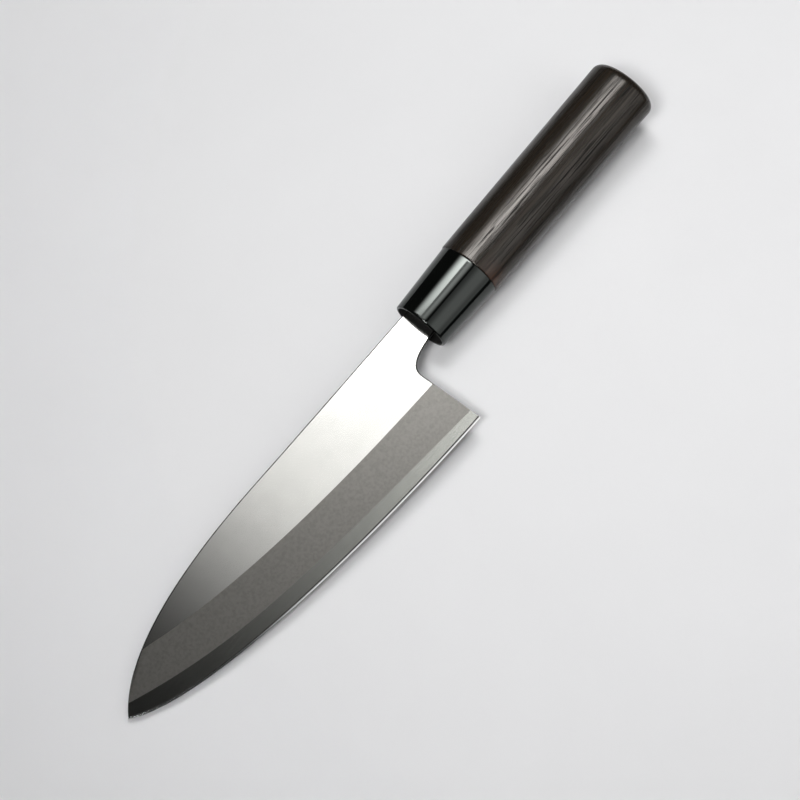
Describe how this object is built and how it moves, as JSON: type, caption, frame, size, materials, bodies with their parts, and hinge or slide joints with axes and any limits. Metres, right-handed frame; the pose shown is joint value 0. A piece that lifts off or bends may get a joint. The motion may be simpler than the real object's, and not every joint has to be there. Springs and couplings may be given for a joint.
{
  "type": "kitchen knife",
  "caption": "Double-bevel kitchen knife with a clad blade, polished cheeks, a black plastic ferrule and an oval dark wooden grip, for slicing and chopping by hand.",
  "frame": {"origin": "under the middle of the knife's box, level with the lowest point of the grip", "axes": "+X from the tip towards the butt along the grip's axis, +Y towards the spine, +Z square to the blade's left face"},
  "size_m": [0.2992, 0.0524, 0.0214],
  "materials": {
    "core_steel": "polished strip with a sharp cutting bevel",
    "cladding_steel": "polished cheek with fine hairlines over a matte blasted band",
    "ferrule_plastic": "gloss",
    "grip_wood": "oiled open grain",
    "bedding_resin": "cast",
    "seal_resin": "matte"
  },
  "bodies": {
    "root": {"core_steel": "core_steel", "left_cladding": "cladding_steel", "right_cladding": "cladding_steel", "ferrule": "ferrule_plastic", "grip_body": "grip_wood", "tang_bedding": "bedding_resin", "mouth_seal": "seal_resin"}
  },
  "joints": []
}
